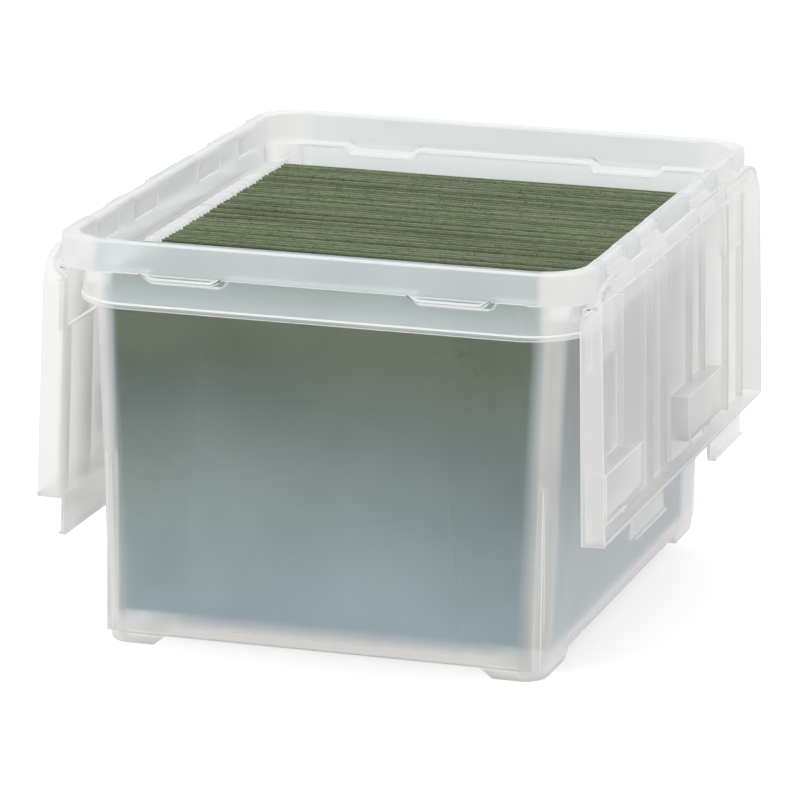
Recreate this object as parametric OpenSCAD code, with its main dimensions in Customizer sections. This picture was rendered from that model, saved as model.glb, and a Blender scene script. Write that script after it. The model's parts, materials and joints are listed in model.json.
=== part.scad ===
// Portable file box: a frosted tub, two hinged lid wings and a row of hanging folders.
// Millimetres. X is the width, Y the depth with the front at -Y, Z is up.
// The origin is on the floor, below the middle of the tub. The wings hang open.

/* [Tub] */
// Width over the rim
rim_w = 361; // [356:1:380]
// Depth over the rim
rim_d = 455; // [450:1:480]
// Height of the rim's top above the floor
box_h = 278; // [275:1:300]
// Thickness of the moulded walls
wall = 2.2; // [1.8:0.1:2.6]
// Radius of the rim's outer corners, seen from above
rim_corner = 30; // [26:1:34]
// Width of the rim's flat top
rim_flat = 10; // [9.5:0.5:11]
// Rounding of the rim's outer top edge
rim_edge = 2.5; // [1:0.5:3]
// Chamfer of the rim's inner top edge
rim_inner_edge = 1.8; // [1:0.2:1.8]
// Radius of the opening's corners, seen from above
opening_corner = 28; // [25:1:30]
// Height of the rim's outer skirt
skirt_h = 21.2; // [20:0.2:24]
// Height of the lower band under the skirt
band_h = 25.8; // [20:0.2:30]
// Radius of the lower band's corners, seen from above
band_corner = 42; // [36:1:46]
// Height of the bead along the lower band's edge
bead_h = 3.5; // [2:0.5:5]
// How far the bead stands out
bead_out = 0.8; // [0.4:0.1:1]
// Width of the ledge inside the front and back walls
ledge_w = 10; // [8:0.5:12]
// Slope of the front and back walls, in degrees
end_draft = 1; // [0.6:0.1:1.4]
// Slope of the side walls, in degrees
side_draft = 2.17; // [1.8:0.01:2.4]
// Radius of the body's upright corners
body_corner = 18; // [15:1:20]
// Chamfer round the bottom of the body
body_chamfer = 2; // [1:0.5:3]

/* [Feet] */
// Height of the feet
foot_h = 6.8; // [5:0.2:8]
// Width of a foot, left to right
foot_w = 33.6; // [28:0.2:40]
// Length of a foot, front to back
foot_d = 55; // [45:1:65]
// Slope length at a foot's inner ends
foot_slope = 8.5; // [4:0.5:12]

/* [Details of the tub] */
// Middle of each trapezoid tab below the skirt, from the middle of the tub
tab_x = 90.6; // [80:0.2:100]
// Width of a tab at its top
tab_w = 54.7; // [45:0.1:62]
// How much narrower a tab is at its bottom
tab_taper = 11.2; // [6:0.2:16]
// How far a tab reaches below the skirt
tab_h = 4.4; // [3:0.2:6]
// Width of the tab's raised border
tab_border = 2; // [1:0.5:3]
// Depth of the ledge's dip behind each tab
dip_h = 5.8; // [4:0.2:8]
// Width of the raised field on the end walls at its bottom
field_w = 192; // [160:1:210]
// How much narrower that field is at its top
field_taper = 30; // [10:1:50]
// How far the fields on the walls stand out
field_out = 0.5; // [0.3:0.1:0.8]
// Length of the sunken field in the side walls at its bottom
side_field_d = 293; // [260:1:310]
// How much shorter the sunken side field is at its top
side_field_taper = 18; // [8:1:30]
// Height of the stiffening ribs in the inner corners
corner_rib_h = 121; // [80:1:160]
// Width of these ribs
corner_rib_w = 5.5; // [3:0.5:6]
// How far these ribs reach in from the end wall's outer face
corner_rib_d = 9.3; // [8:0.1:9.7]
// Gap between the floor and the fields on the walls
field_up = 6; // [3:0.5:20]
// Gap between these fields and the lower band
field_down = 2; // [1:0.5:20]

/* [Hinges] */
// Diameter of the hinge rods
hinge_d = 5; // [4:0.5:5]
// Distance of the hinge line from the rim's outer face
hinge_in = 5.3; // [5:0.1:5.6]
// Distance of the hinge line below the rim's top
hinge_down = 5; // [4.6:0.1:5.4]
// Clearance between a clip and its rod, on the radius
clip_gap = 0.25; // [0.15:0.05:0.4]
// Thickness of a clip round its rod
clip_t = 2.15; // [1.6:0.05:2.3]
// Mouth of a clip, in degrees
clip_mouth = 76; // [50:2:90]
// Direction of the mouth's middle in the closed wing, in degrees
clip_turn = 5; // [0:1:10]
// Thickness of a clip's cover, which closes the notch while the wing hangs open
cover_t = 1.8; // [1.2:0.1:1.8]
// How far a cover stays inside the rim's faces
cover_inset = 0.2; // [0.2:0.1:0.5]
// Gap between a swinging cover and the floor of its notch
cover_gap = 0.8; // [0.5:0.1:2]
// Gap between a clip and the sides of its notch
notch_gap = 0.8; // [0.8:0.1:2]
// Height of the rim left under a notch
notch_floor = 1.7; // [1:0.1:1.9]
// Thickness of the webs that carry the rods
web_t = 2; // [1.5:0.1:3]
// Places of the clips along the right rim
clip_y = [-152, -67, 65, 141]; // [-168:0.5:168]
// Widths of the clips
clip_w = [42, 43, 46, 40]; // [20:1:46]
// Outward lean of an open wing, in degrees
wing_lean = 1.4; // [1.2:0.1:3]

/* [Wings] */
// Gap between the closed wings
wing_gap = 0.8; // [0.6:0.1:2]
// Gap from a closed wing to the rim's ends
wing_end_gap = 1.2; // [0.8:0.1:2]
// Gap from a closed wing to the rim's sides
wing_side_gap = 0.8; // [0.6:0.1:1]
// Height of the lid's top over the hinge line
lid_up = 1.6; // [1:0.1:2]
// Depth of the trough beside the hinge, under the hinge line
trough_down = 7.7; // [7.2:0.1:8]
// Width of the trough
trough_w = 11; // [10.5:0.5:12]
// Width of the slope from the trough up to the lid's top
slope_w = 9.5; // [8:0.5:11]
// Radius of the shoulder under the hinge
shoulder_r = 12.3; // [12:0.1:12.6]
// Distance of the shoulder's centre from the hinge line
shoulder_u = 13; // [12.8:0.1:13.2]
// Depth of the wing's skirt at the free edge, under the hinge line
skirt_free = 14.4; // [14.3:0.1:15]
// Depth of the wing's skirt near the hinge, under the hinge line
skirt_near = 12.9; // [12.5:0.1:13.2]
// Thickness of the long ribs
rib_t = 1.6; // [1:0.1:2]
// Depth of the long ribs
rib_h = 5; // [2:0.5:7]
// Places of the long ribs along the right wing
rib_y = [-134, -58, -21, 48, 85, 152, 194]; // [-200:1:200]
// Start of a finger pocket, from the hinge line
pocket_u = 128; // [124:1:132]
// Width of a finger pocket
pocket_w = 31; // [26:1:34]
// How far a pocket's bottom stays above the skirt's edge
pocket_up = 0.2; // [0.1:0.1:1]
// Gap between a tongue and the pocket it lies over, at each side
tongue_side_gap = 1.25; // [0.6:0.05:2]
// Start of a tongue within its quarter of the free edge
tongue_start = 11.2; // [10:0.2:14]
// Length of a tongue along the free edge
tongue_w = 87.8; // [80:0.2:89]
// How far a tongue reaches past the free edge
tongue_out = 28; // [24:1:34]
// Rounding of a tongue's corners
tongue_corner = 4; // [2:1:8]
// Depth of a tongue's turned lip
tongue_lip = 2.9; // [1:0.1:5]
// Thickness of that lip
lip_t = 1.8; // [1:0.1:2.2]
// Gap under a tongue
tongue_gap = 0.4; // [0.3:0.1:1]
// Depth of the recesses that take the feet of a box stacked on top
nest_depth = 3.6; // [2:0.1:5]
// Clearance round a nested foot
nest_gap = 1.5; // [0.8:0.1:2]

/* [Folders] */
// Number of hanging folders
folder_count = 26; // [12:1:26]
// Width of a folder
folder_w = 298; // [290:1:302]
// Height of a folder
folder_h = 232.6; // [220:0.2:234]
// Thickness of the folder's paper
paper_t = 0.6; // [0.4:0.1:0.7]
// Height of a folder's top hem
hem_h = 13; // [12:0.5:18]
// Thickness of a hem
hem_t = 1.9; // [1.7:0.1:2.2]
// Gap between the two hems of a folder
hem_gap = 3.9; // [2:0.1:3.9]
// How much higher the highest hems stand than the lowest
hem_play = 0.6; // [0:0.1:1]
// Width of a folder's bottom fold
fold_w = 2.8; // [2.2:0.1:3.5]
// Room between the front wall and the first folder
front_room = 8.5; // [7:0.5:12]
// Room between the last folder and the back wall
back_room = 35.5; // [12:0.5:80]
// Gap between a folder's side and the tub's wall at the floor
folder_side_gap = 0.3; // [0.3:0.1:1.5]
// How far the folders shift along the rails by turns
folder_shift = 0.5; // [0:0.1:0.8]
// How much the folders' bottoms draw in toward the middle, as a share
bottom_draw = 0.03; // [0:0.005:0.035]

/* [Rods] */
// Thickness of a rod
rod_t = 0.8; // [0.6:0.1:0.9]
// Height of a rod
rod_h = 9; // [6:0.5:10]
// Paper over a rod
hem_cover = 0.4; // [0.3:0.1:1]
// Clearance round a rod in its hem
rod_gap = 0.1; // [0.05:0.05:0.2]
// Height of the rod's hook over the rail
hook_h = 2.7; // [2:0.1:4]
// How far the hooks stand above the lowest hems
hook_over = 0.9; // [0:0.1:2]
// Clearance between a hook and the rail
hook_gap = 0.3; // [0.2:0.1:0.6]
// Clearance at both sides of the rail in the hook
hook_side_gap = 0.8; // [0.4:0.1:1]
// Width of the hook's finger outside the rail
finger_w = 2.4; // [1.5:0.1:4]
// Bend and bevel at a hook's corners
hook_bend = 1; // [0.5:0.1:1.5]
// Distance of the rail from the folder's side
rail_out = 7; // [6.5:0.1:8]
// Width of the rail's lip
rail_w = 1.8; // [1.2:0.1:2.4]
// Height of the rail's lip over its floor
rail_h = 2; // [1:0.1:3]
// Depth of the rail's floor below the rim's top
rail_down = 32.5; // [28:0.5:34]
// Gap between the rails' ends and the end walls
rail_end = 4.5; // [2:0.5:8]
// Radius of the corners above the rails, seen from above
rail_corner = 14; // [10:1:18]

/* [Hidden] */
folder_names = [for (i = [1:folder_count]) str("folder_", i < 10 ? "0" : "", i)];
rods_names = [for (i = [1:folder_count]) str("rods_", i < 10 ? "0" : "", i)];

frosted = [0.90, 0.93, 0.94, 0.45];
paper_green = [0.42, 0.48, 0.35];
rod_white = [0.95, 0.95, 0.93];
hull_fn = 32;
round_fn = 64;
thin = 0.01;
far = 600;

// Levels of the tub, from the floor up
floor_z = foot_h + wall;
ledge_z = box_h - skirt_h;
band_z = ledge_z - band_h;
rail_z = box_h - rail_down;
lip_z = rail_z + rail_h;

// Half sizes of the opening and of the body
open_x = rim_w / 2 - rim_flat;
open_y = rim_d / 2 - rim_flat;
base_x = folder_w / 2 + folder_side_gap + wall;
top_x = base_x + tan(side_draft) * (ledge_z - foot_h);
top_y = open_y - ledge_w + wall;
base_y = top_y - tan(end_draft) * (ledge_z - foot_h);
rail_x = folder_w / 2 + rail_out;
rail_y = top_y - wall - rail_end;
corner_rib_y = base_y - corner_rib_d;

// Hinge line of the right wing
hinge_x = rim_w / 2 - hinge_in;
hinge_z = box_h - hinge_down;
clip_in = hinge_d / 2 + clip_gap;
clip_out = clip_in + clip_t;
notch_z = ledge_z + notch_floor;

// Cover of a clip in the wing's frame: its top, inner and outer faces and its reach
cover_u = -(hinge_down - cover_inset);
cover_v = hinge_x - open_x - cover_inset;
cover_out = -(hinge_in - cover_inset);
cover_l = sqrt(pow(hinge_z - notch_z - cover_gap, 2) - pow(cover_v, 2));

// A wing in its own frame: u runs from the hinge line to the free edge, v is up when closed
wing_u0 = hinge_x - open_x + wing_side_gap;
wing_u1 = hinge_x - wing_gap / 2;
wing_y = open_y - wing_end_gap;
wing_corner = opening_corner - (wing_end_gap + wing_side_gap) / 2;
trough_u = wing_u0 + trough_w;
slope_u = trough_u + slope_w;
quarter = wing_y / 2;
tongue_end = tongue_start + tongue_w;
well_start = quarter - tongue_end - tongue_side_gap;
well_end = quarter - tongue_start + tongue_side_gap;
shelf_v = lid_up - wall - tongue_gap;
pocket_v = -skirt_free + pocket_up;
open_angle = 270 - wing_lean;

// Feet and the nests that take them
foot_x0 = base_x - body_chamfer / 2 - foot_w;
foot_y0 = base_y - foot_d;

// Folders and rods
top_z = lip_z + hook_gap + hook_h - hook_over;
bottom_z = top_z - folder_h;
stack_y0 = -(top_y - wall) + front_room;
pitch = (2 * (top_y - wall) - front_room - back_room) / folder_count;
hook_x = rail_x + rail_w + hook_side_gap + finger_w;
rod_top = top_z - hem_cover - rod_gap;
rod_bottom = rod_top - rod_h;

function folder_y(i) = stack_y0 + (i - 0.5) * pitch + folder_shift * sin(i * 137.5);
function hem_rise(i) = hem_play * (1 + sin(i * 97)) / 2;

// ---------- shared shapes ----------

module round_rect(x, y, r) {
    square([2 * x, 2 * (y - r)], center = true);
    square([2 * (x - r), 2 * y], center = true);
    for (sx = [-1, 1], sy = [-1, 1])
        translate([sx * (x - r), sy * (y - r)]) circle(r = r);
}

// A flat slab with round corners, given by half sizes
module slab(x, y, r, z, t) {
    translate([0, 0, z]) linear_extrude(t) round_rect(x, y, r);
}

// A shape drawn in X and Z, as thick as t along Y, starting at y
module upright(y, t) {
    translate([0, y + t, 0]) rotate([90, 0, 0]) linear_extrude(t) children();
}

module on_four_corners() {
    for (sx = [0, 1], sy = [0, 1]) mirror([sx, 0, 0]) mirror([0, sy, 0]) children();
}

module on_both_ends() {
    for (sy = [0, 1]) mirror([0, sy, 0]) children();
}

module on_both_sides() {
    for (a = [0, 180]) rotate([0, 0, a]) children();
}

// ---------- tub ----------

module body_outside() {
    hull() {
        slab(base_x - body_chamfer, base_y - body_chamfer, body_corner - body_chamfer, foot_h, thin, $fn = hull_fn);
        slab(base_x, base_y, body_corner, foot_h + body_chamfer, thin, $fn = hull_fn);
        slab(top_x, top_y, body_corner + wall, ledge_z - thin, thin, $fn = hull_fn);
    }
}

module body_hollow() {
    rise = tan(side_draft) * (far / 2);
    rise_y = tan(end_draft) * (far / 2);
    hull() {
        slab(base_x - wall, base_y - wall, body_corner - wall, floor_z, thin, $fn = hull_fn);
        slab(base_x - wall + rise, base_y - wall + rise_y, body_corner, floor_z + far / 2, thin, $fn = hull_fn);
    }
}

// The space between the feet, grown by g
module between_feet(g) {
    upright(-far / 2, far)
        polygon([
            [-foot_x0 - g, -1], [foot_x0 + g, -1], [foot_x0 + g, 0],
            [foot_x0 - foot_slope + g, foot_h + g], [-foot_x0 + foot_slope - g, foot_h + g], [-foot_x0 - g, 0]
        ]);
    rotate([0, 0, 90]) upright(-far / 2, far)
        polygon([
            [-foot_y0 - g, -1], [foot_y0 + g, -1], [foot_y0 + g, 0],
            [foot_y0 - foot_slope + g, foot_h + g], [-foot_y0 + foot_slope - g, foot_h + g], [-foot_y0 - g, 0]
        ]);
}

module feet() {
    difference() {
        hull() {
            slab(base_x - body_chamfer, base_y - body_chamfer, body_corner - body_chamfer, 0, thin, $fn = hull_fn);
            slab(base_x - body_chamfer / 2, base_y - body_chamfer / 2, body_corner - body_chamfer / 2,
                 body_chamfer / 2, thin, $fn = hull_fn);
            slab(base_x, base_y, body_corner, foot_h + body_chamfer, thin, $fn = hull_fn);
        }
        between_feet(0);
        translate([0, 0, foot_h + far / 2]) cube(far, center = true);
    }
}

module feet_hollow() {
    inset = wall + body_chamfer;
    difference() {
        slab(base_x - inset, base_y - inset, body_corner - inset, wall, floor_z);
        between_feet(wall);
    }
}

module dips(g) {
    on_both_ends() for (s = [-1, 1])
        translate([s * tab_x, 0, 0]) upright(top_y - wall - 1, ledge_w + 1 + g)
            polygon([
                [-tab_w / 2 - g, ledge_z + (g > 0 ? 0 : 1)], [tab_w / 2 + g, ledge_z + (g > 0 ? 0 : 1)],
                [tab_w / 2 - tab_taper / 2 + g, ledge_z - dip_h - g],
                [-tab_w / 2 + tab_taper / 2 - g, ledge_z - dip_h - g]
            ]);
}

module rail_cut() {
    slab(open_x, rail_y, rail_corner, rail_z, far / 2);
}

// The ledge round the opening, the trough over the rails and the dips, all solid
module ledges_outside() {
    slab(open_x + wall / 2, open_y + wall / 2, opening_corner + wall / 2, ledge_z - wall, wall);
    slab(open_x + wall / 2, rail_y + wall, rail_corner + wall, rail_z - wall, ledge_z - rail_z + wall);
    dips(wall);
}

module shell() {
    difference() {
        union() {
            body_outside();
            ledges_outside();
            feet();
        }
        body_hollow();
        rail_cut();
        feet_hollow();
        dips(0);
    }
}

// Lower band with its bead, a skirt that hangs from the ledge round the top of the body
module lower_band() {
    color(frosted) difference() {
        union() {
            slab(open_x + wall, open_y + wall, band_corner, band_z, ledge_z - band_z);
            slab(open_x + wall + bead_out, open_y + wall + bead_out, band_corner + bead_out, band_z, bead_h);
        }
        slab(open_x, open_y, band_corner - wall, band_z - 1, far);
        ledges_outside();
    }
}

// The rim's hollow profile, from the ledge up
module rim_ring() {
    difference() {
        hull() {
            slab(rim_w / 2, rim_d / 2, rim_corner, ledge_z, thin, $fn = hull_fn);
            for (a = [0:22.5:90])
                slab(rim_w / 2 - rim_edge * (1 - cos(a)), rim_d / 2 - rim_edge * (1 - cos(a)),
                     rim_corner - rim_edge * (1 - cos(a)), box_h - rim_edge + rim_edge * sin(a) - thin, thin,
                     $fn = hull_fn);
        }
        slab(open_x, open_y, opening_corner, 0, far);
        hull() {
            slab(open_x, open_y, opening_corner, box_h - rim_inner_edge, thin, $fn = hull_fn);
            slab(open_x + rim_inner_edge, open_y + rim_inner_edge, opening_corner + rim_inner_edge, box_h, thin,
                 $fn = hull_fn);
        }
        difference() {
            slab(rim_w / 2 - wall, rim_d / 2 - wall, rim_corner - wall, ledge_z - 1, skirt_h + 1 - wall);
            slab(open_x + wall, open_y + wall, opening_corner + wall, 0, far);
        }
    }
}

module tab_outline(inset) {
    w = tab_w / 2 - inset;
    polygon([
        [-w, ledge_z + tab_border], [w, ledge_z + tab_border], [w, ledge_z],
        [w - tab_taper / 2, ledge_z - tab_h + inset], [-w + tab_taper / 2, ledge_z - tab_h + inset], [-w, ledge_z]
    ]);
}

module tabs() {
    on_both_ends() for (s = [-1, 1])
        translate([s * tab_x, 0, 0]) difference() {
            upright(rim_d / 2 - wall, wall) tab_outline(0);
            upright(rim_d / 2 - wall / 3, wall) tab_outline(tab_border);
        }
}

module rails() {
    for (s = [0, 1]) mirror([s, 0, 0]) {
        translate([rail_x, -rail_y, rail_z - wall]) cube([rail_w, 2 * rail_y, wall + rail_h]);
        translate([rail_x, -rail_y, rail_z - wall]) cube([top_x - rail_x, 2 * rail_y, wall]);
    }
}

// Raised field on the front and back walls
module end_fields() {
    z0 = floor_z + field_up;
    z1 = band_z - field_down;
    on_both_ends()
        translate([0, base_y, foot_h]) rotate([-end_draft, 0, 0]) translate([0, -base_y, -foot_h])
            upright(base_y - wall / 2, wall / 2 + field_out)
                polygon([
                    [-field_w / 2, z0], [field_w / 2, z0],
                    [(field_w - field_taper) / 2, z1], [-(field_w - field_taper) / 2, z1]
                ]);
}

// Sunken field in both side walls
module side_fields() {
    z0 = floor_z + field_up;
    z1 = band_z - field_down;
    on_both_sides()
        translate([base_x, 0, foot_h]) rotate([0, side_draft, 0]) translate([-base_x, 0, -foot_h])
            rotate([0, 0, -90]) upright(base_x - field_out, wall)
                polygon([
                    [-side_field_d / 2, z0], [side_field_d / 2, z0],
                    [(side_field_d - side_field_taper) / 2, z1], [-(side_field_d - side_field_taper) / 2, z1]
                ]);
}

module corner_ribs() {
    x0 = folder_w / 2 + folder_side_gap - corner_rib_w;
    on_four_corners()
        translate([x0, corner_rib_y, floor_z - wall / 2])
            cube([corner_rib_w, base_y - wall / 2 - corner_rib_y, corner_rib_h + wall / 2]);
}

module notches() {
    on_both_sides() for (k = [0:len(clip_y) - 1])
        translate([open_x - 1, clip_y[k] - clip_w[k] / 2 - notch_gap, notch_z])
            cube([rim_flat + 2, clip_w[k] + 2 * notch_gap, far]);
}

module hinge_webs() {
    on_both_sides() for (k = [0:len(clip_y) - 1], s = [-1, 1])
        translate([open_x + wall / 2, clip_y[k] + s * (clip_w[k] / 2 + notch_gap + web_t / 2) - web_t / 2, ledge_z])
            cube([rim_flat - wall, web_t, skirt_h - wall / 2]);
}

module hinge_rods() {
    on_both_sides() for (k = [0:len(clip_y) - 1]) {
        length = clip_w[k] + 2 * (notch_gap + web_t);
        translate([hinge_x, clip_y[k] + length / 2, hinge_z]) rotate([90, 0, 0])
            cylinder(d = hinge_d, h = length, $fn = round_fn);
    }
}

// The walls, floor, feet, ledge and rails. The lower band and the rim are one moulding with them.
module tub() {
    color(frosted) union() {
        difference() {
            shell();
            side_fields();
        }
        rails();
        end_fields();
        corner_ribs();
    }
}

module rim() {
    color(frosted) union() {
        difference() {
            union() {
                rim_ring();
                tabs();
                hinge_webs();
            }
            notches();
        }
        hinge_rods();
    }
}

// ---------- lid wings ----------

// A wing's outline from above, set in by i
module wing_plan(i) {
    r = wing_corner - i;
    translate([wing_u0 + i + r, -wing_y + i]) square([wing_u1 - wing_u0 - 2 * i - r, 2 * (wing_y - i)]);
    translate([wing_u0 + i, -wing_y + i + r]) square([r + 1, 2 * (wing_y - i - r)]);
    for (s = [-1, 1]) translate([wing_u0 + i + r, s * (wing_y - i - r)]) circle(r = r, $fn = round_fn);
}

// The shoulder's round underside with the skirt's sloping edge
module under_edge() {
    translate([shoulder_u, 0]) circle(r = shoulder_r, $fn = round_fn);
    polygon([
        [shoulder_u, lid_up + 1], [shoulder_u, -shoulder_r], [slope_u, -skirt_near], [wing_u1, -skirt_free],
        [wing_u1, lid_up + 1]
    ]);
}

module over_edge() {
    polygon([
        [wing_u0, -far], [wing_u0, -trough_down], [trough_u, -trough_down], [slope_u, lid_up],
        [wing_u1, lid_up], [wing_u1, -far]
    ]);
}

// The hollow under the lid, one wall below its top
module hollow_edge() {
    over = wall * tan(atan((trough_down + lid_up) / slope_w) / 2);
    polygon([
        [0, -far], [0, -trough_down - wall], [trough_u + over, -trough_down - wall], [slope_u + over, lid_up - wall],
        [wing_u1, lid_up - wall], [wing_u1, -far]
    ]);
}

module wing_tray() {
    difference() {
        intersection() {
            upright(-wing_y, 2 * wing_y) intersection() {
                under_edge();
                over_edge();
            }
            translate([0, 0, -far / 2]) linear_extrude(far) wing_plan(0);
        }
        intersection() {
            upright(-wing_y, 2 * wing_y) hollow_edge();
            translate([0, 0, -far / 2]) linear_extrude(far) wing_plan(wall);
        }
    }
}

module wing_ribs() {
    for (y = rib_y)
        translate([slope_u, y - rib_t / 2, lid_up - wall - rib_h])
            cube([wing_u1 - slope_u - wall / 2, rib_t, rib_h + wall / 2]);
}

// Every second quarter of the free edge has a well, with a shelf and a deeper finger pocket
module at_wells() {
    for (q = [0, 2]) translate([0, -wing_y + q * quarter, 0]) children();
}

module wells_outside() {
    at_wells() {
        translate([pocket_u, well_start - wall, pocket_v])
            cube([pocket_w, well_end - well_start + 2 * wall, lid_up - pocket_v]);
        translate([pocket_u, well_start - wall, shelf_v - wall])
            cube([wing_u1 - pocket_u, well_end - well_start + 2 * wall, lid_up - shelf_v + wall]);
    }
}

module wells_inside() {
    at_wells() {
        translate([pocket_u + wall, well_start, pocket_v + wall])
            cube([pocket_w - 2 * wall, well_end - well_start, far]);
        translate([pocket_u + pocket_w / 2, well_start, shelf_v]) cube([far, well_end - well_start, far]);
    }
}

module tongues() {
    for (q = [1, 3])
        translate([wing_u1 - wall, -wing_y + q * quarter + tongue_start, lid_up - wall]) {
            linear_extrude(wall) tongue_plan();
            translate([wall + tongue_out - lip_t, tongue_corner, -tongue_lip])
                cube([lip_t, tongue_w - 2 * tongue_corner, tongue_lip + wall / 2]);
        }
}

module tongue_plan() {
    length = wall + tongue_out;
    square([length - tongue_corner, tongue_w]);
    translate([0, tongue_corner]) square([length, tongue_w - 2 * tongue_corner]);
    for (y = [tongue_corner, tongue_w - tongue_corner])
        translate([length - tongue_corner, y]) circle(r = tongue_corner, $fn = round_fn);
}

// The recess over the feet of a box that is stacked on the lid; g grows it to its outside
module nests(g) {
    u0 = hinge_x - base_x - nest_gap;
    u1 = hinge_x - foot_x0 + nest_gap;
    y0 = foot_y0 - nest_gap;
    y1 = base_y + nest_gap;
    for (s = [0, 1]) mirror([0, s, 0])
        translate([u0 - g, y0 - g, lid_up - nest_depth - g])
            cube([u1 - u0 + 2 * g, y1 - y0 + 2 * g, g > 0 ? nest_depth + g : far]);
}

// The jaws round the rod, on an arm that runs on into the shoulder
module clip_jaws() {
    difference() {
        union() {
            circle(r = clip_out, $fn = round_fn);
            difference() {
                intersection() {
                    translate([shoulder_u, 0]) circle(r = shoulder_r, $fn = round_fn);
                    translate([-clip_out, -far]) square([trough_u + clip_out, far]);
                }
                intersection() {
                    translate([shoulder_u, 0]) circle(r = shoulder_r - wall, $fn = round_fn);
                    translate([0, -trough_down]) square([far, far]);
                }
            }
        }
        rotate(clip_turn - clip_mouth / 2)
            polygon([[0, 0], [far, 0], [far, far * tan(clip_mouth / 2)], [far * cos(clip_mouth), far * sin(clip_mouth)]]);
    }
}

// The cover continues the rim's top and inner face across the notch of an open wing
module clip_cover() {
    polygon([
        [cover_l, cover_v], [cover_u + rim_inner_edge, cover_v], [cover_u, cover_v - rim_inner_edge],
        [cover_u, cover_out + rim_edge], [cover_u + rim_edge, cover_out], [cover_u + rim_edge, cover_v - cover_t],
        [cover_l, cover_v - cover_t]
    ]);
}

module clip_profile() {
    difference() {
        union() {
            clip_jaws();
            clip_cover();
        }
        circle(r = clip_in, $fn = round_fn);
    }
}

module clips() {
    for (k = [0:len(clip_y) - 1]) upright(clip_y[k] - clip_w[k] / 2, clip_w[k]) clip_profile();
}

// A wing in its closed attitude, with the hinge line on the Y axis and u along -X
module wing() {
    mirror([1, 0, 0]) {
        difference() {
            union() {
                wing_tray();
                wing_ribs();
                wells_outside();
                nests(wall);
            }
            wells_inside();
            nests(0);
        }
        tongues();
        clips();
    }
}

module lid_wing_right() {
    color(frosted) translate([hinge_x, 0, hinge_z]) rotate([0, open_angle, 0]) wing();
}

module lid_wing_left() {
    color(frosted) rotate([0, 0, 180]) translate([hinge_x, 0, hinge_z]) rotate([0, open_angle, 0]) wing();
}

// ---------- hanging folders ----------

// One side of a folder's outline, from its hem down to the bottom fold; s is the side
function folder_side(s, drift, top) = [
    [s * hem_gap / 2, top],
    [s * (hem_gap / 2 + hem_t), top],
    [s * (hem_gap / 2 + hem_t), top - hem_h],
    [s * (hem_gap / 2 + paper_t), top - hem_h],
    [drift + s * fold_w / 2, bottom_z + paper_t],
    [drift + s * (fold_w / 2 - paper_t), bottom_z]
];

function reversed(list) = [for (k = [len(list) - 1:-1:0]) list[k]];

module folder(i) {
    y = folder_y(i);
    drift = -bottom_draw * y;
    top = top_z + hem_rise(i);
    inner_fold = [for (s = [-1, 1]) [drift + s * (fold_w / 2 - paper_t), bottom_z + paper_t]];
    color(paper_green) translate([0, y, 0]) rotate([90, 0, 90]) translate([0, 0, -folder_w / 2])
        linear_extrude(folder_w) difference() {
            polygon(concat(folder_side(1, drift, top), reversed(folder_side(-1, drift, top)), inner_fold));
            for (s = [-1, 1])
                translate([s * (hem_gap + hem_t) / 2 - rod_t / 2 - rod_gap, rod_bottom - rod_gap])
                    square([rod_t + 2 * rod_gap, rod_h + 2 * rod_gap]);
        }
}

// A rod with a hook at each end, flat in X and Z
module rod() {
    notch_0 = rail_x - hook_side_gap;
    notch_1 = rail_x + rail_w + hook_side_gap;
    hook_top = lip_z + hook_gap + hook_h;
    upright(-rod_t / 2, rod_t) for (s = [0, 1]) mirror([s, 0])
        polygon([
            [0, rod_top], [folder_w / 2 + hook_bend, rod_top], [folder_w / 2 + 2 * hook_bend, hook_top],
            [hook_x - hook_bend, hook_top], [hook_x, hook_top - hook_bend], [hook_x, rail_z + hook_gap],
            [notch_1, rail_z + hook_gap],
            [notch_1, lip_z + hook_gap], [notch_0, lip_z + hook_gap], [notch_0, rod_bottom], [0, rod_bottom]
        ]);
}

module rods(i) {
    color(rod_white) for (s = [-1, 1]) translate([0, folder_y(i) + s * (hem_gap + hem_t) / 2, 0]) rod();
}

tub($fn = round_fn);
lower_band($fn = round_fn);
rim($fn = round_fn);
lid_wing_left();
lid_wing_right();
for (i = [1:folder_count]) folder(i);
for (i = [1:folder_count]) rods(i);
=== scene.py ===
# %% [markdown]
# # A frosted file box with hanging folders
#
# The object is an office file box of milky plastic. It has a deep tub, two lid wings that hang open at its
# sides, and a row of green hanging folders whose steel rods lie on rails inside. This lesson dresses the
# finished solids: it mixes the finishes, rounds the plastic's edges, folds the card, and sets a plain
# studio round it all.
#
# We start by loading the solids. They are already in their places, in metres, with the floor at Z = 0 and
# the front of the box towards -Y. A helper measures the box of each solid.

# %% Load the solids
import json
import math

import bmesh
import bpy
from mathutils import Matrix, Vector

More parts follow.
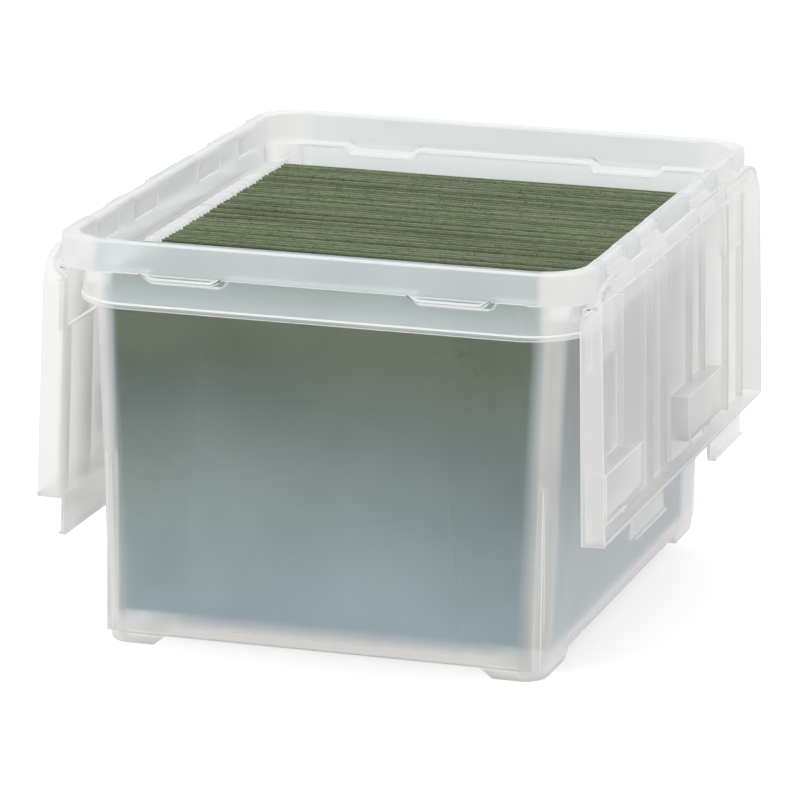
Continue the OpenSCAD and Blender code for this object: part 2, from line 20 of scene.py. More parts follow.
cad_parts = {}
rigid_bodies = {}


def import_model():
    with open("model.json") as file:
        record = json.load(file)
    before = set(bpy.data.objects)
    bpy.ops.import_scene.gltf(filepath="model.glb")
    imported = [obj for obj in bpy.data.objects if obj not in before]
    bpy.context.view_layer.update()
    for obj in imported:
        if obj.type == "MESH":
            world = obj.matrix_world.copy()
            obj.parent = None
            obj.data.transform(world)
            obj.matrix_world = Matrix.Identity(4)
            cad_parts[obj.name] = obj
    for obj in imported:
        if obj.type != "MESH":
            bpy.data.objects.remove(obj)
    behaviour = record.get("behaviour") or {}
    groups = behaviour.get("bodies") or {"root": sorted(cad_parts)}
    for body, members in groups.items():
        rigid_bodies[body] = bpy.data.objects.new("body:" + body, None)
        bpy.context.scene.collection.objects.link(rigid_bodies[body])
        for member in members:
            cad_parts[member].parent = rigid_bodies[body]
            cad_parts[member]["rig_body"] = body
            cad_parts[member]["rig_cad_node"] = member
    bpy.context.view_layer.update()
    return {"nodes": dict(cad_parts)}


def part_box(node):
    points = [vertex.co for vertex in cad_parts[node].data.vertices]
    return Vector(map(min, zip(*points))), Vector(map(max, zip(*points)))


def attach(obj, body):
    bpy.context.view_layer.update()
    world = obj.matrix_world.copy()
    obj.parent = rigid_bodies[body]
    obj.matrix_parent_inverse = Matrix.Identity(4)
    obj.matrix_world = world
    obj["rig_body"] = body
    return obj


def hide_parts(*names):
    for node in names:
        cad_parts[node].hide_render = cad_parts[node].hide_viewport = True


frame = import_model()
solids = frame["nodes"]
folder_numbers = sorted(name[len("folder_"):] for name in solids if name.startswith("folder_"))
print("solids:", len(solids), "folders:", len(folder_numbers))

# %% [markdown]
# ## The camera
#
# A long lens from far away keeps the box's edges nearly parallel. The camera stands to the right of the
# front, looks down by fourteen degrees and is tilted by a trace, as a hand-held camera is. Three turns in
# a row say this most plainly: first the tilt round the line of sight, then the look down, then the turn
# round the upright axis.

# %% Set up the camera
camera_place = (1.0687, -3.5645, 1.0783)
turn, look_down, tilt = math.radians(16.833), math.radians(14.321), math.radians(0.6488)
lens_data = bpy.data.cameras.new("long_lens")
lens_data.sensor_width = 36
lens_data.lens = 252.5
lens_data.clip_end = 60
camera = bpy.data.objects.new("camera", lens_data)
bpy.context.scene.collection.objects.link(camera)
camera.matrix_world = (
    Matrix.Translation(camera_place)
    @ Matrix.Rotation(turn, 4, "Z")
    @ Matrix.Rotation(math.pi / 2 - look_down, 4, "X")
    @ Matrix.Rotation(tilt, 4, "Z")
)
bpy.context.scene.camera = camera
bpy.context.scene.view_settings.view_transform = "Standard"
print("camera at", [round(x, 3) for x in camera.location])

# %% [markdown]
# ## Helpers for finishes
#
# Every finish starts the same way: a new material and its main shader. Noise is the work-horse here. It
# makes cloudiness in the plastic, fibres in the card and faint grain in the coating, and it is read in
# object coordinates so that it stays put when a wing turns or a folder is lifted. A noise node gives
# values that lie mostly between 0.3 and 0.7, so these are the limits that the helpers spread over a range
# of numbers or colours.

# %% A new finish and its noise
noise_low, noise_high = 0.3, 0.7


def new_finish(name):
    finish = bpy.data.materials.new(name)
    finish.use_nodes = True
    nodes, links = finish.node_tree.nodes, finish.node_tree.links
    return finish, nodes, links, nodes["Principled BSDF"]


def object_place(nodes):
    return nodes.new("ShaderNodeTexCoord").outputs["Object"]


def axes_of(nodes, links, place):
    axes = nodes.new("ShaderNodeSeparateXYZ")
    links.new(place, axes.inputs["Vector"])
    return axes.outputs


def noise(nodes, links, place, scale, detail, stretch=(1, 1, 1)):
    mapping = nodes.new("ShaderNodeMapping")
    mapping.inputs["Scale"].default_value = stretch
    texture = nodes.new("ShaderNodeTexNoise")
    texture.inputs["Scale"].default_value = scale
    texture.inputs["Detail"].default_value = detail
    links.new(place, mapping.inputs["Vector"])
    links.new(mapping.outputs["Vector"], texture.inputs["Vector"])
    return texture.outputs["Fac"]


def ranged(nodes, links, value, low, high, from_low=noise_low, from_high=noise_high):
    spread = nodes.new("ShaderNodeMapRange")
    spread.inputs["From Min"].default_value = from_low
    spread.inputs["From Max"].default_value = from_high
    spread.inputs["To Min"].default_value = low
    spread.inputs["To Max"].default_value = high
    links.new(value, spread.inputs["Value"])
    return spread.outputs["Result"]


def two_tones(nodes, links, value, dark, light, from_low=noise_low, from_high=noise_high):
    ramp = nodes.new("ShaderNodeValToRGB")
    for end, position, tone in zip(ramp.color_ramp.elements, (from_low, from_high), (dark, light)):
        end.position = position
        end.color = (*tone, 1)
    links.new(value, ramp.inputs["Fac"])
    return ramp.outputs["Color"]


print("noise spread from", noise_low, "to", noise_high)

# %% [markdown]
# The other helpers lift the surface by a noise, do one sum, blend two colours or two numbers, and mix two
# shaders. Each takes sockets or plain values, and gives back the socket of its result.

# %% Bump, sums and mixes
def bumped(nodes, links, height, distance, under=None):
    bump = nodes.new("ShaderNodeBump")
    bump.inputs["Distance"].default_value = distance
    bump.inputs["Strength"].default_value = 1.0
    links.new(height, bump.inputs["Height"])
    if under is not None:
        links.new(under, bump.inputs["Normal"])
    return bump.outputs["Normal"]


def maths(nodes, links, operation, first, second=None):
    step = nodes.new("ShaderNodeMath")
    step.operation = operation
    for socket, value in zip(step.inputs, (first, second)):
        if isinstance(value, (int, float)):
            socket.default_value = value
        elif value is not None:
            links.new(value, socket)
    return step.outputs["Value"]


def blended(nodes, links, amount, base, other):
    mix = nodes.new("ShaderNodeMix")
    if isinstance(other, tuple):
        mix.data_type = "RGBA"
    links.new(amount, mix.inputs["Factor"])
    for socket, value in ((mix.inputs["A"], base), (mix.inputs["B"], other)):
        if isinstance(value, tuple):
            socket.default_value = (*value, 1)
        elif isinstance(value, float):
            socket.default_value = value
        else:
            links.new(value, socket)
    return mix.outputs["Result"]


def mixed_shaders(nodes, links, amount, first, second):
    mix = nodes.new("ShaderNodeMixShader")
    if isinstance(amount, float):
        mix.inputs["Fac"].default_value = amount
    else:
        links.new(amount, mix.inputs["Fac"])
    links.new(first, mix.inputs[1])
    links.new(second, mix.inputs[2])
    return mix.outputs["Shader"]


def either_ray(nodes, links, first_kind, second_kind):
    path = nodes.new("ShaderNodeLightPath")
    return maths(nodes, links, "MAXIMUM", path.outputs[first_kind], path.outputs[second_kind])


print("helpers ready")

# %% [markdown]
# ## Frosted plastic
#
# Unpigmented polypropylene is milky: it lets light through but blurs what lies behind it, more so the
# further away that is. A rough glass shader that hardly bends the light gives this. On top of it lies a
# veil of scattered light, most of it thrown back and a little let through from behind. So the finish mixes
# two shaders: rough glass, and a milky body. First comes the glass. Its skin has slow waves with a fine
# grain on them, and a cloud of soft noise changes its roughness by a trace.

# %% The clear part of the plastic
clear_tint = (0.985, 0.978, 0.96)
bending = 1.12
wave_depth, grain_depth = 0.0004, 0.00002


def frosted_plastic(name):
    finish, nodes, links, glass = new_finish(name)
    place = object_place(nodes)
    cloud = noise(nodes, links, place, scale=14.0, detail=4.0)
    waves = noise(nodes, links, place, scale=30.0, detail=2.0)
    grain = noise(nodes, links, place, scale=900.0, detail=2.0)
    skin = bumped(nodes, links, waves, wave_depth)
    skin = bumped(nodes, links, grain, grain_depth, under=skin)
    glass.inputs["Base Color"].default_value = (*clear_tint, 1)
    glass.inputs["Transmission Weight"].default_value = 1.0
    glass.inputs["IOR"].default_value = bending
    links.new(ranged(nodes, links, cloud, low=0.43, high=0.47), glass.inputs["Roughness"])
    links.new(skin, glass.inputs["Normal"])
    return finish, nodes, links, glass, place, cloud, skin


print("clear tint:", clear_tint)

# %% [markdown]
# The veil comes second. The same cloud makes it thicker here and thinner there, as the flow of the melt
# leaves it. Each wall has two faces, and the veil lies only on the one that the ray meets from outside, so
# that a wall counts once. Rounded edges carry the attribute painted_edge_highlight, made further down, and
# there the plastic is painted nearly white: partly because one looks into its whole depth, and partly as a
# painted highlight where the edge catches the light.
#
# Rough glass blocks lamps in a path tracer, and the inside would go black. Shadow rays and diffuse rays
# are therefore let straight through, which is what real milky plastic does to soft light.

# %% The milky part of the plastic
# Painted highlight: the rounded edges are made nearly white and milky.
highlight_edge_colour, highlight_edge_veil = (0.99, 0.99, 0.985), 0.95
body_roughness = 0.38
share_from_behind = 0.15


def milky_body(nodes, links, colour, skin):
    thrown_back = nodes.new("ShaderNodeBsdfPrincipled")
    thrown_back.inputs["Roughness"].default_value = body_roughness
    links.new(colour, thrown_back.inputs["Base Color"])
    links.new(skin, thrown_back.inputs["Normal"])
    from_behind = nodes.new("ShaderNodeBsdfTranslucent")
    links.new(colour, from_behind.inputs["Color"])
    links.new(skin, from_behind.inputs["Normal"])
    return mixed_shaders(
        nodes, links, share_from_behind, thrown_back.outputs["BSDF"], from_behind.outputs["BSDF"]
    )


def add_milkiness(nodes, links, glass, cloud, skin, colour, veil):
    # Painted highlight along the rounded edges.
    edge = nodes.new("ShaderNodeAttribute")
    edge.attribute_name = "painted_edge_highlight"
    colour = blended(nodes, links, edge.outputs["Fac"], colour, highlight_edge_colour)
    veil = maths(nodes, links, "MULTIPLY", ranged(nodes, links, cloud, low=0.94, high=1.06), veil)
    veil = blended(nodes, links, edge.outputs["Fac"], veil, highlight_edge_veil)
    side = nodes.new("ShaderNodeNewGeometry")
    outer = maths(nodes, links, "SUBTRACT", 1.0, side.outputs["Backfacing"])
    veil = maths(nodes, links, "MULTIPLY", veil, outer)
    body = milky_body(nodes, links, colour, skin)
    milky = mixed_shaders(nodes, links, veil, glass.outputs["BSDF"], body)

    passed = nodes.new("ShaderNodeBsdfTransparent")
    passed.inputs["Color"].default_value = (1, 1, 1, 1)
    soft_light = either_ray(nodes, links, "Is Shadow Ray", "Is Diffuse Ray")
    surface = mixed_shaders(nodes, links, soft_light, milky, passed.outputs["BSDF"])
    links.new(surface, nodes["Material Output"].inputs["Surface"])


print("veil at a rounded edge:", highlight_edge_veil)

# %% [markdown]
# ## Thick and thin places of the tub, with painted light and shade
#
# A moulded tub isn't equally milky all over. The walls are painted clearer towards the top, as painted
# shade under the band, and milkier towards the bottom, as painted light from the white floor. The floor's
# edge, the corners, the band and the rim are thicker, and look nearly white. The floor's edge is also
# painted lighter, as painted light from the white ground below. The thin places have a cold tint, as smoke
# has against something dark, and the thick ones are neutral. The tub's floor is the milkiest of all, and
# hides what it stands on.
#
# All this follows the height above the floor and the distance from the walls, so it is worked out from the
# object's own coordinates. The walls lean outwards, and the distances are measured from the leaning wall:
# a lean is how far the wall's outside moves outwards for each metre of height, and it starts from its
# place at the floor. A zone begins and ends over a few millimetres, and these two limits are given in
# metres: a height, or how far past the wall's outside, which is negative inside the box.

# %% Places on the tub
band_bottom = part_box("lower_band")[0].z
rim_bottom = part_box("lower_band")[1].z
side_lean, side_at_floor = 0.0385, 0.1512
end_lean, end_at_floor = 0.0175, 0.2058
corner_by_side, corner_by_end = (-0.020, -0.010), (-0.030, -0.012)
side_sheet = (-0.004, -0.0015)
band_start = (band_bottom - 0.0005, band_bottom + 0.0005)
skirt_start = (rim_bottom - 0.0006, rim_bottom + 0.0002)
lit_floor_edge, floor_top = (0.016, 0.026), (0.018, 0.022)
clear_of_walls = (-0.020, -0.010)
painted_light_heights = (0.03, 0.215)


def past_wall(nodes, links, axes, axis, lean, at_floor):
    distance = maths(nodes, links, "ABSOLUTE", axes[axis])
    leaning = maths(nodes, links, "MULTIPLY", axes["Z"], lean)
    distance = maths(nodes, links, "SUBTRACT", distance, leaning)
    return maths(nodes, links, "SUBTRACT", distance, at_floor)


def zone(nodes, links, value, limits, low=0, high=1):
    return ranged(nodes, links, value, low, high, *limits)


print("band from", round(band_bottom, 4), "to", round(rim_bottom, 4))

# %% [markdown]
# A corner is where both walls are near, and the side zone is the sheet of plastic just inside a side
# wall's outside. The band is milkiest at its lower edge. The skirt is the hanging edge of the rim, and the
# base is the edge of the floor. A place is as thick as the thickest zone that it lies in. The floor has a
# zone of its own, where no wall is near.

# %% The tub's zones
side_share, skirt_share = 0.45, 0.60
low_band_share, high_band_share = 0.66, 0.20


def thickness(nodes, links, height, past_side, past_end):
    near_side = zone(nodes, links, past_side, corner_by_side)
    near_end = zone(nodes, links, past_end, corner_by_end)
    thick = maths(nodes, links, "MULTIPLY", near_side, near_end)
    side = zone(nodes, links, past_side, side_sheet, high=side_share)
    in_band = zone(nodes, links, height, band_start)
    fading = zone(nodes, links, height, (band_bottom, rim_bottom), low=low_band_share, high=high_band_share)
    band = maths(nodes, links, "MULTIPLY", in_band, fading)
    skirt = zone(nodes, links, height, skirt_start, high=skirt_share)
    # The base zone is partly the thicker floor edge and partly painted light: the lowest walls are made
    # milky white in place of the light from the white ground below.
    base = zone(nodes, links, height, lit_floor_edge, low=1, high=0)
    for other_zone in (side, band, skirt, base):
        thick = maths(nodes, links, "MAXIMUM", thick, other_zone)
    return thick


def on_the_floor(nodes, links, height, past_side, past_end):
    off_side = zone(nodes, links, past_side, clear_of_walls, low=1, high=0)
    off_end = zone(nodes, links, past_end, clear_of_walls, low=1, high=0)
    off_walls = maths(nodes, links, "MULTIPLY", off_side, off_end)
    low_enough = zone(nodes, links, height, floor_top, low=1, high=0)
    return maths(nodes, links, "MULTIPLY", off_walls, low_enough)


print("zones: corner, side, band, skirt, base and floor")

# %% [markdown]
# Now the zones choose between two tints and two veils. The veil of the thin walls falls off with the
# height: painted shade under the band at the top, and painted light from the white floor at the bottom.

# %% Mix the tub's plastic
thin_dark, thin_light = (0.61, 0.785, 0.925), (0.64, 0.82, 0.965)
thick_colour, thick_veil = (0.98, 0.985, 0.975), 0.62
floor_lit_wall_veil, band_shaded_wall_veil = 0.47, 0.05
floor_veil = 0.93


def tub_finish():
    finish, nodes, links, glass, place, cloud, skin = frosted_plastic("frosted_tub_plastic")
    axes = axes_of(nodes, links, place)
    past_side = past_wall(nodes, links, axes, "X", side_lean, side_at_floor)
    past_end = past_wall(nodes, links, axes, "Y", end_lean, end_at_floor)
    thick = thickness(nodes, links, axes["Z"], past_side, past_end)
    thin_tint = two_tones(nodes, links, cloud, thin_dark, thin_light)
    colour = blended(nodes, links, thick, thin_tint, thick_colour)
    # Painted shade and light: a high veil near the floor stands for the floor's light, a low one under the
    # band for its shade.
    wall_veil_with_painted_light = zone(nodes, links, axes["Z"], painted_light_heights, low=floor_lit_wall_veil, high=band_shaded_wall_veil)
    veil = blended(nodes, links, thick, wall_veil_with_painted_light, thick_veil)
    tub_floor = on_the_floor(nodes, links, axes["Z"], past_side, past_end)
    veil = blended(nodes, links, tub_floor, veil, floor_veil)
    add_milkiness(nodes, links, glass, cloud, skin, colour, veil)
    return finish


tub_plastic = tub_finish()
print("tub's plastic:", tub_plastic.name)

# %% [markdown]
# The wings look equally milky all over, so their veil is one number, and their colour is neutral.

# %% Mix the lid's plastic
lid_dark, lid_light = (0.95, 0.96, 0.95), (0.98, 0.985, 0.98)
lid_veil = 0.46


def lid_finish():
    finish, nodes, links, glass, _, cloud, skin = frosted_plastic("frosted_lid_plastic")
    colour = two_tones(nodes, links, cloud, lid_dark, lid_light)
    add_milkiness(nodes, links, glass, cloud, skin, colour, lid_veil)
    return finish


lid_plastic = lid_finish()
print("lid's plastic:", lid_plastic.name)

# %% [markdown]
# ## Folder card
#
# The folders are of dull green card. Seen close it is not one green: pale and dark fibres lie in it,
# mostly along the sheet, handling has rubbed it lighter in places, and darker dots are strewn over it.
# Three noises carry this: one drawn out along the width of the folder for the fibres, a broad one for the
# rubbed patches, and a fine one for the dots. The fibres also lift the surface a trace. The sheets are
# painted darker below their top edges, as painted shade for the dimmer light inside the box, so the tops
# read paler. A noise that changes only from front to back makes one hem darker than the next.

# %% Mix the green card
fibre_dark, fibre_light = (0.118, 0.150, 0.082), (0.200, 0.236, 0.145)
rubbed_green = (0.235, 0.265, 0.180)
dot_green = (0.070, 0.092, 0.050)
shade_below_top_from, shade_below_top_to = 0.226, 0.243
fibre_lift = 0.00012


def green_card():
    finish, nodes, links, card = new_finish("green_folder_card")
    place = object_place(nodes)
    fibres = noise(nodes, links, place, scale=1100.0, detail=4.0, stretch=(0.16, 1, 1))
    rubbed = noise(nodes, links, place, scale=26.0, detail=3.0)
    dots = noise(nodes, links, place, scale=620.0, detail=1.0)
    row = noise(nodes, links, place, scale=150.0, detail=3.0, stretch=(0.010, 1, 0))
    rubbed_share = ranged(nodes, links, rubbed, low=0.0, high=0.34, from_low=0.42, from_high=0.72)
    dot_share = ranged(nodes, links, dots, low=0.0, high=0.85, from_low=0.60, from_high=0.72)
    green = two_tones(nodes, links, fibres, fibre_dark, fibre_light, from_low=0.36, from_high=0.64)
    green = blended(nodes, links, rubbed_share, green, rubbed_green)
    green = blended(nodes, links, dot_share, green, dot_green)

    height = axes_of(nodes, links, place)["Z"]
    # Painted shade: below its top edge the sheet is darkened, in place of the dimmer light inside the box.
    painted_shade_below_top = ranged(nodes, links, height, low=0.70, high=1.06, from_low=shade_below_top_from, from_high=shade_below_top_to)
    row_tone = ranged(nodes, links, row, low=0.50, high=1.14, from_low=0.30, from_high=0.56)
    shaded_green = nodes.new("ShaderNodeVectorMath")
    shaded_green.operation = "SCALE"
    links.new(green, shaded_green.inputs[0])
    links.new(maths(nodes, links, "MULTIPLY", painted_shade_below_top, row_tone), shaded_green.inputs["Scale"])
    links.new(shaded_green.outputs["Vector"], card.inputs["Base Color"])
    links.new(ranged(nodes, links, fibres, low=0.78, high=0.92), card.inputs["Roughness"])
    links.new(bumped(nodes, links, fibres, fibre_lift), card.inputs["Normal"])
    card.inputs["Specular IOR Level"].default_value = 0.25
    return finish


card_finish = green_card()
print("card:", card_finish.name)

# %% [markdown]
# ## Coated rods
#
# The rods are flat steel strips dipped in white coating. The coating is smooth with a satin gloss, a
# little greyer where it has been rubbed on the rails.

# %% Mix the white coating
rubbed_white, clean_white = (0.84, 0.85, 0.85), (0.93, 0.93, 0.93)
grain_lift = 0.00004


def white_coating():
    finish, nodes, links, coat = new_finish("white_rod_coating")
    place = object_place(nodes)
    grain = noise(nodes, links, place, scale=420.0, detail=3.0)
    wear = noise(nodes, links, place, scale=60.0, detail=4.0)
    white = two_tones(nodes, links, wear, rubbed_white, clean_white, from_low=0.34, from_high=0.52)
    links.new(white, coat.inputs["Base Color"])
    links.new(ranged(nodes, links, grain, low=0.30, high=0.44), coat.inputs["Roughness"])
    links.new(bumped(nodes, links, grain, grain_lift), coat.inputs["Normal"])
    return finish


rod_finish = white_coating()
print("coating:", rod_finish.name)

# %% [markdown]
# ## Moulded shells: the tub and the wings
#
# The solids of the tub and the wings have the right shape, but their edges are knife sharp and their round
# corners are made of flat strips. On the real mouldings every edge is slightly round, and that is where
# the light catches. The tub, its band and its rim are three solids that meet face to face, and one
# moulding on the real box. Their copies are fused with a Boolean modifier, so that no seam shows inside
# the clear wall. A solid's mesh is loose triangles, so each copy is merged first.

# %% Merge and fuse the solids' copies
merge_gap = 0.00001


def select_only(piece):
    bpy.ops.object.select_all(action="DESELECT")
    piece.select_set(True)
    bpy.context.view_layer.objects.active = piece


def merge_doubles():
    bpy.ops.mesh.select_all(action="SELECT")
    bpy.ops.mesh.remove_doubles(threshold=merge_gap)


def merged_copy(node, piece_name):
    select_only(solids[node])
    bpy.ops.object.duplicate()
    piece = bpy.context.active_object
    piece.name = piece.data.name = piece_name
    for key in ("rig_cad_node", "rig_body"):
        del piece[key]
    piece.parent = None
    bpy.ops.object.mode_set(mode="EDIT")
    merge_doubles()
    bpy.ops.object.mode_set(mode="OBJECT")
    return piece


def fused_copy(node_names, piece_name):
    piece = merged_copy(node_names[0], piece_name)
    for node in node_names[1:]:
        portion = merged_copy(node, piece_name + "_portion")
        fuse = piece.modifiers.new("fuse", "BOOLEAN")
        fuse.operation = "UNION"
        fuse.solver = "EXACT"
        fuse.object = portion
        select_only(piece)
        bpy.ops.object.modifier_apply(modifier="fuse")
        bpy.data.objects.remove(portion)
    return piece


tub_shell = fused_copy(["tub", "lower_band", "rim"], "tub_shell")
print("fused tub, faces:", len(tub_shell.data.polygons))

# %% [markdown]
# Flat neighbours are dissolved into whole faces, and a bevel then rounds the sharp edges. With its overlap
# clamped, a bevel shrinks to nothing beside the shortest edge. So it isn't clamped, and only edges longer
# than four millimetres get a bevel weight. The fields in the tub's walls are sunk by half a millimetre
# only. Their edges, found by their place on a wall away from its corners, stay as they are.
#
# The bevel's faces get a material slot of their own for a moment. It is turned into the attribute
# painted_edge_highlight, which the plastic reads to paint a highlight along the rounded edges.

# %% Round the edges of a moulded shell
flat_angle, sharp_angle = math.radians(0.5), math.radians(38)
shortest_rounded = 0.004
bevel_slot = 1
wall_low, wall_high = 0.02, 0.229
end_wall_half_width, end_wall_inside = 0.135, 0.19
side_wall_half_length, side_wall_inside = 0.185, 0.14


def on_a_wall(edge):
    x, y, z = (abs(v) for v in (edge.verts[0].co + edge.verts[1].co) / 2)
    on_an_end = x < end_wall_half_width and y > end_wall_inside
    on_a_side = y < side_wall_half_length and x > side_wall_inside
    return wall_low < z < wall_high and (on_an_end or on_a_side)


def weigh_sharp_edges(piece, shallow):
    form = bmesh.new()
    form.from_mesh(piece.data)
    weights = []
    for edge in form.edges:
        sharp = edge.calc_face_angle(0) > sharp_angle and edge.calc_length() > shortest_rounded
        weights.append(float(sharp and not shallow(edge)))
    form.free()
    piece.data.attributes.new("bevel_weight_edge", "FLOAT", "EDGE").data.foreach_set("value", weights)
    print(piece.name, "edges to round:", round(sum(weights)))


def all_in_first_slot(piece):
    for face in piece.data.polygons:
        face.material_index = 0


def round_the_edges(piece, finish, edge_radius, shallow=lambda edge: False):
    select_only(piece)
    bpy.ops.object.mode_set(mode="EDIT")
    merge_doubles()
    bpy.ops.mesh.select_all(action="SELECT")
    bpy.ops.mesh.dissolve_limited(angle_limit=flat_angle)
    bpy.ops.object.mode_set(mode="OBJECT")
    piece.data.materials.clear()
    piece.data.materials.append(finish)
    piece.data.materials.append(finish)
    all_in_first_slot(piece)
    weigh_sharp_edges(piece, shallow)
    bevel = piece.modifiers.new("soft_edges", "BEVEL")
    bevel.width = edge_radius
    bevel.segments = 2
    bevel.limit_method = "WEIGHT"
    bevel.use_clamp_overlap = False
    bevel.material = bevel_slot
    bpy.ops.object.modifier_apply(modifier="soft_edges")
    bpy.ops.object.shade_smooth_by_angle(angle=sharp_angle)

    rounded = piece.data.attributes.new("painted_edge_highlight", "FLOAT", "FACE")
    rounded.data.foreach_set("value", [float(face.material_index) for face in piece.data.polygons])
    all_in_first_slot(piece)
    piece.data.materials.pop(index=bevel_slot)
    print(piece.name, "faces:", len(piece.data.polygons))


print("edges turned by more than", round(math.degrees(sharp_angle)), "degrees are rounded")

# %% [markdown]
# The tub's edges are a trace rounder than the wings'. Each shell rides on the body of the solids that it
# stands for, and the solids themselves are hidden.

# %% The tub and the wings
tub_edge_radius, wing_edge_radius = 0.0006, 0.0005
round_the_edges(tub_shell, tub_plastic, tub_edge_radius, shallow=on_a_wall)
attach(tub_shell, "tub")
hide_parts("tub", "lower_band", "rim")
for side in ("left", "right"):
    wing_shell = merged_copy("lid_wing_" + side, "wing_shell_" + side)
    round_the_edges(wing_shell, lid_plastic, wing_edge_radius)
    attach(wing_shell, "wing_" + side)
    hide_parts("lid_wing_" + side)

# %% [markdown]
# ## One hanging folder
#
# A hanging folder is one sheet of card. It starts at the outside of the front hem, runs up and over the
# rod, down the inside, and on down to the fold at the bottom, and then the same way up at the back. Such a
# shape is easiest as an extrusion: a narrow strip as wide as the folder is pulled along the path of the
# sheet, step by step. The steps are written as points across the folder, Y and Z in millimetres from the
# middle of its top.

# %% The path of the sheet
mm_per_m = 1000
outer_hem = [(-2.80, -12.8), (-3.30, -11.4), (-3.61, -9.5), (-3.62, -5.5), (-3.62, -1.5)]
up_to_the_rod = [(-3.48, -0.75), (-3.22, -0.36), (-2.90, -0.24)]
down_from_the_rod = [(-2.58, -0.36), (-2.32, -0.75), (-2.18, -1.5)]
inner_hem = [(-2.18, -5.5), (-2.19, -9.5), (-2.25, -13.4)]
upper_sheet = [(-2.12, -40), (-1.98, -75), (-1.80, -110)]
lower_sheet = [(-1.62, -145), (-1.42, -180), (-1.25, -210), (-1.12, -231.8)]
bottom_fold = [(-0.85, -232.35)]
front_hem = outer_hem + up_to_the_rod + down_from_the_rod + inner_hem
front_path = front_hem + upper_sheet + lower_sheet + bottom_fold
sheet_path = front_path + [(-y, z) for y, z in reversed(front_path)]
print("steps along the sheet:", len(sheet_path) - 1)

# %% [markdown]
# The strip starts as a grid that is squeezed to a line of thirty columns, so that the card can bow across
# its width. Each step pulls the last row of points on to the next point of the path.

# %% Pull the strip along its path
folder_w = 0.298
columns = 30
strip_merge_gap = 0.0001


def fold_a_sheet():
    y_start, z_start = sheet_path[0]
    bpy.ops.object.select_all(action="DESELECT")
    bpy.ops.mesh.primitive_grid_add(
        x_subdivisions=columns, y_subdivisions=1, size=folder_w, location=(0, 0, 0)
    )
    sheet = bpy.context.active_object
    sheet.name = sheet.data.name = "folded_sheet"
    bpy.ops.object.mode_set(mode="EDIT")
    bpy.ops.mesh.select_all(action="SELECT")
    bpy.ops.transform.resize(value=(1, 0, 1))
    bpy.ops.mesh.remove_doubles(threshold=strip_merge_gap)
    bpy.ops.mesh.select_all(action="SELECT")
    bpy.ops.transform.translate(value=(0, y_start / mm_per_m, z_start / mm_per_m))
    for (ya, za), (yb, zb) in zip(sheet_path[:-1], sheet_path[1:]):
        step = (0, (yb - ya) / mm_per_m, (zb - za) / mm_per_m)
        bpy.ops.mesh.extrude_region_move(TRANSFORM_OT_translate={"value": step})
    bpy.ops.mesh.select_all(action="SELECT")
    bpy.ops.mesh.normals_make_consistent(inside=False)
    bpy.ops.object.mode_set(mode="OBJECT")
    return sheet


folded_sheet = fold_a_sheet()
print("folded sheet:", [round(v * mm_per_m, 1) for v in folded_sheet.dimensions], "mm")

# %% [markdown]
# ## The row of folders
#
# The sheet is copied once for each folder and put where its rods hang. No two folders hang alike: the card
# bows and ripples between its ends, the top edge is a trace uneven, and the bottom leans a little to the
# middle of the box. These small moves are made on each copy with its own phase, and are kept small at the
# hem, where the rod holds it straight. The phase grows by the golden angle, so that it never repeats along
# the row. The upper part of the sheet is lowered by a tenth of a millimetre, to keep its uneven edge
# within the solid's box.

# %% How one sheet bends
folder_h = 0.2326
golden_angle = 2.399
lean_to_middle = -0.03
bow_size, bow_wave = 0.0009, 9
ripple_size, ripple_wave, ripple_turn, ripple_loss = 0.00010, 46, 1.7, 0.6
rise_size, rise_wave, rise_turn = 0.00012, 31, 2.3
top_gap, upper_drop, upper_share = 0.00002, 0.0001, 0.3


def bend_the_sheet(sheet_mesh, middle, top, phase):
    lean = lean_to_middle * middle
    for v in sheet_mesh.vertices:
        down = min(1.0, -v.co.z / folder_h)
        belly = math.sin(math.pi * down) ** 2
        held = 1 - ripple_loss * down
        bow = bow_size * math.sin(phase + v.co.x * bow_wave) * belly
        ripple = ripple_size * math.sin(ripple_turn * phase + v.co.x * ripple_wave) * held
        rise = rise_size * math.sin(rise_turn * phase + v.co.x * rise_wave) * (1 - down) ** 4
        v.co.y += middle + lean * down + bow + ripple
        v.co.z += top - top_gap + rise - (upper_drop if down < upper_share else 0)


print("largest bow:", bow_size * mm_per_m, "mm")

# %% [markdown]
# A Solidify modifier then gives the sheet its thickness, half of it to each side.

# %% Hang the folders
sheet_t = 0.00045
card_smooth_angle = math.radians(50)


def hang_folder(number, sheet):
    rods_low, rods_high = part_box("rods_" + number)
    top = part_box("folder_" + number)[1].z
    select_only(sheet)
    bpy.ops.object.duplicate()
    folder = bpy.context.active_object
    folder.name = folder.data.name = "card_folder_" + number
    bend_the_sheet(folder.data, (rods_low.y + rods_high.y) / 2, top, golden_angle * int(number))
    card = folder.modifiers.new("card_thickness", "SOLIDIFY")
    card.thickness = sheet_t
    card.offset = 0
    bpy.ops.object.modifier_apply(modifier="card_thickness")
    bpy.ops.object.shade_smooth_by_angle(angle=card_smooth_angle)
    folder.data.materials.clear()
    folder.data.materials.append(card_finish)
    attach(folder, "file_" + number)
    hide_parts("folder_" + number)
    return folder


card_folders = [hang_folder(number, folded_sheet) for number in folder_numbers]
bpy.data.objects.remove(folded_sheet)
print("folders hung:", len(card_folders), "faces each:", len(card_folders[0].data.polygons))

# %% [markdown]
# ## The rods
#
# The rods are plain flat strips with a hook at each end, and the solids already have that shape. They only
# need their coating.

# %% Coat the rods
for number in folder_numbers:
    rods = solids["rods_" + number]
    rods.data.materials.clear()
    rods.data.materials.append(rod_finish)
print("rods coated:", len(folder_numbers))

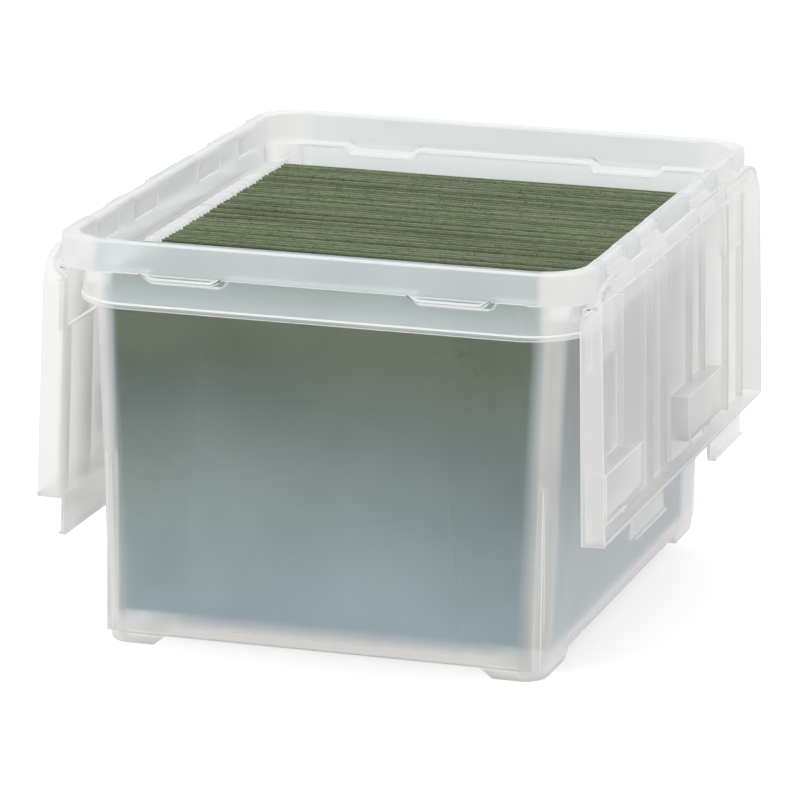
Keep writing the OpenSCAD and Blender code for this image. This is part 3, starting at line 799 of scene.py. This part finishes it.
# %% [markdown]
# ## The studio
#
# The box stands on a plain white floor in soft light. For light that the floor passes on to the box it is
# a plain grey-white that doesn't shine. What the camera sees of it is lifted to white, with the soft
# shadow of the box, and seen through the plastic or in its gloss it is plain white.

# %% The floor
floor_size, floor_gap = 40, 0.0004
floor_colour = (0.8, 0.8, 0.8)
floor_lift = 0.42
floor_through_plastic = 0.97


def shining(nodes, strength):
    light = nodes.new("ShaderNodeEmission")
    light.inputs["Strength"].default_value = strength
    return light.outputs["Emission"]


def white_floor():
    finish, nodes, links, surface = new_finish("white_floor")
    surface.inputs["Base Color"].default_value = (*floor_colour, 1)
    surface.inputs["Roughness"].default_value = 0.9
    surface.inputs["Specular IOR Level"].default_value = 0.0
    lifted = nodes.new("ShaderNodeAddShader")
    links.new(surface.outputs["BSDF"], lifted.inputs[0])
    links.new(shining(nodes, floor_lift), lifted.inputs[1])
    in_view = nodes.new("ShaderNodeLightPath").outputs["Is Camera Ray"]
    seen = mixed_shaders(nodes, links, in_view, surface.outputs["BSDF"], lifted.outputs["Shader"])
    through = either_ray(nodes, links, "Is Transmission Ray", "Is Glossy Ray")
    seen = mixed_shaders(nodes, links, through, seen, shining(nodes, floor_through_plastic))
    links.new(seen, nodes["Material Output"].inputs["Surface"])
    return finish


bpy.ops.object.select_all(action="DESELECT")
bpy.ops.mesh.primitive_plane_add(size=floor_size, location=(0, 0, -floor_gap))
studio_floor = bpy.context.active_object
studio_floor.name = "studio_floor"
studio_floor.data.materials.append(white_floor())
print("floor:", studio_floor.data.materials[0].name)

# %% [markdown]
# The world lights the box evenly from all sides. The camera, the plastic and its gloss see it as pure
# white.

# %% The world
room_strength, seen_strength = 0.95, 1.0
studio_world = bpy.data.worlds.new("studio_world")
bpy.context.scene.world = studio_world
studio_world.use_nodes = True
world_nodes, world_links = studio_world.node_tree.nodes, studio_world.node_tree.links
room_light, seen_white = world_nodes["Background"], world_nodes.new("ShaderNodeBackground")
for background, strength in ((room_light, room_strength), (seen_white, seen_strength)):
    background.inputs["Color"].default_value = (1, 1, 1, 1)
    background.inputs["Strength"].default_value = strength
through_plastic = either_ray(world_nodes, world_links, "Is Transmission Ray", "Is Glossy Ray")
camera_ray = world_nodes.new("ShaderNodeLightPath").outputs["Is Camera Ray"]
in_view_or_through = maths(world_nodes, world_links, "MAXIMUM", through_plastic, camera_ray)
soft_room, pure_white = room_light.outputs["Background"], seen_white.outputs["Background"]
world_surface = mixed_shaders(world_nodes, world_links, in_view_or_through, soft_room, pure_white)
world_links.new(world_surface, world_nodes["World Output"].inputs["Surface"])
print("world:", studio_world.name)

# %% [markdown]
# The white world does most of the lighting. Two large soft lamps shape the box a little: one high at the
# left front, and a weaker one overhead that lights the tops of the folders. Soft light goes straight
# through the plastic, and on its way it crosses more faces than the renderer allows as standard, so that
# limit goes up.

# %% Lamps
lamp_target = Vector((0, 0, 0.15))
clear_faces = 32


def soft_lamp(name, place, size, power):
    lamp_data = bpy.data.lights.new(name, "AREA")
    lamp_data.size = size
    lamp_data.energy = power
    lamp = bpy.data.objects.new(name, lamp_data)
    bpy.context.scene.collection.objects.link(lamp)
    lamp.location = place
    lamp.rotation_mode = "QUATERNION"
    lamp.rotation_quaternion = (lamp_target - Vector(place)).to_track_quat("-Z", "Y")


soft_lamp("left_front_lamp", (-1.6, -1.8, 2.4), size=1.6, power=15)
soft_lamp("overhead_lamp", (0.3, 0.4, 2.8), size=2.0, power=9)
bpy.context.scene.cycles.transparent_max_bounces = clear_faces
print("lamps ready")
